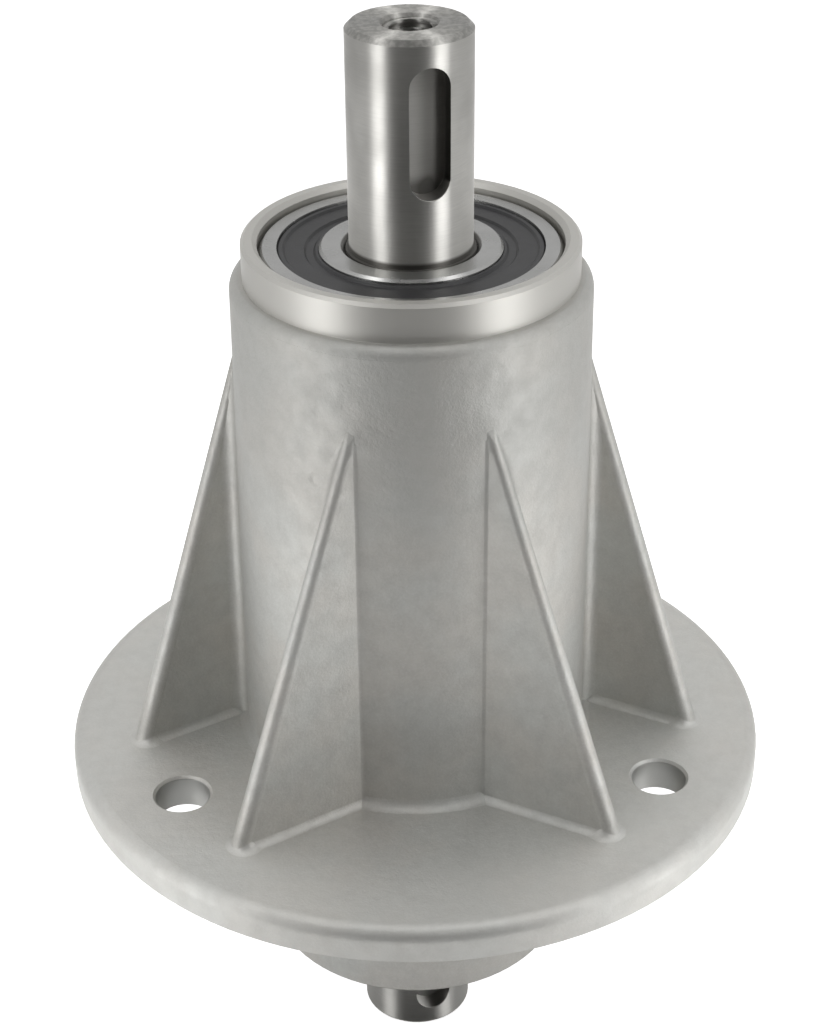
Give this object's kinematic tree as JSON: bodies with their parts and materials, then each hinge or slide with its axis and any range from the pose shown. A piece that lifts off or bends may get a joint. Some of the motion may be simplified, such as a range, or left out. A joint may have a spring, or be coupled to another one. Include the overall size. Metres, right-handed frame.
{
  "type": "mower blade spindle",
  "caption": "Rotary mower blade spindle: a ribbed cast aluminium bearing housing with a round bolt-on flange, and a keyed shaft turning in sealed ball bearings.",
  "frame": {"origin": "centre of the three-bolt circle, in the flange's mounting face", "axes": "+Z along the shaft towards the pulley end; -Y is the front, midway between two bolt holes, and the third bolt hole is on +Y"},
  "size_m": [0.117, 0.117, 0.1856],
  "materials": {
    "cast_aluminium": "as cast and fine grained, with turned lips and a machined mounting face",
    "turned_steel": "turned and ground bright",
    "bearing_steel": "ground bearing rings",
    "cage_steel": "pressed sheet",
    "ball_steel": "polished",
    "tube_steel": "drawn tube",
    "seal_rubber": "moulded, matt"
  },
  "bodies": {
    "housing": {"spindle_housing": "cast_aluminium", "top_bearing_outer_ring": "bearing_steel", "top_bearing_upper_seal": "seal_rubber", "top_bearing_lower_seal": "seal_rubber", "bottom_bearing_outer_ring": "bearing_steel", "bottom_bearing_upper_seal": "seal_rubber", "bottom_bearing_lower_seal": "seal_rubber"},
    "shaft": {"spindle_shaft": "turned_steel", "spacer_tube": "tube_steel", "top_bearing_inner_ring": "bearing_steel", "bottom_bearing_inner_ring": "bearing_steel"},
    "top_cage": {"top_bearing_upper_cage": "cage_steel", "top_bearing_lower_cage": "cage_steel", "top_bearing_cage_rivets": "cage_steel", "top_ball_1": "ball_steel", "top_ball_2": "ball_steel", "top_ball_3": "ball_steel", "top_ball_4": "ball_steel", "top_ball_5": "ball_steel", "top_ball_6": "ball_steel", "top_ball_7": "ball_steel", "top_ball_8": "ball_steel"},
    "bottom_cage": {"bottom_bearing_upper_cage": "cage_steel", "bottom_bearing_lower_cage": "cage_steel", "bottom_bearing_cage_rivets": "cage_steel", "bottom_ball_1": "ball_steel", "bottom_ball_2": "ball_steel", "bottom_ball_3": "ball_steel", "bottom_ball_4": "ball_steel", "bottom_ball_5": "ball_steel", "bottom_ball_6": "ball_steel", "bottom_ball_7": "ball_steel", "bottom_ball_8": "ball_steel"}
  },
  "joints": [
    {"name": "shaft_spin", "type": "hinge", "parent": "housing", "child": "shaft", "pos_m": [0, 0, 0], "axis": [0, 0, 1], "continuous": true},
    {"name": "top_cage_spin", "type": "hinge", "parent": "housing", "child": "top_cage", "pos_m": [0, 0, 0.0848], "axis": [0, 0, 1], "continuous": true},
    {"name": "bottom_cage_spin", "type": "hinge", "parent": "housing", "child": "bottom_cage", "pos_m": [0, 0, -0.0276], "axis": [0, 0, 1], "continuous": true}
  ],
  "couplings": [
    {"joint": "top_cage_spin", "follows": "shaft_spin", "ratio": 0.3815},
    {"joint": "bottom_cage_spin", "follows": "shaft_spin", "ratio": 0.3815}
  ]
}
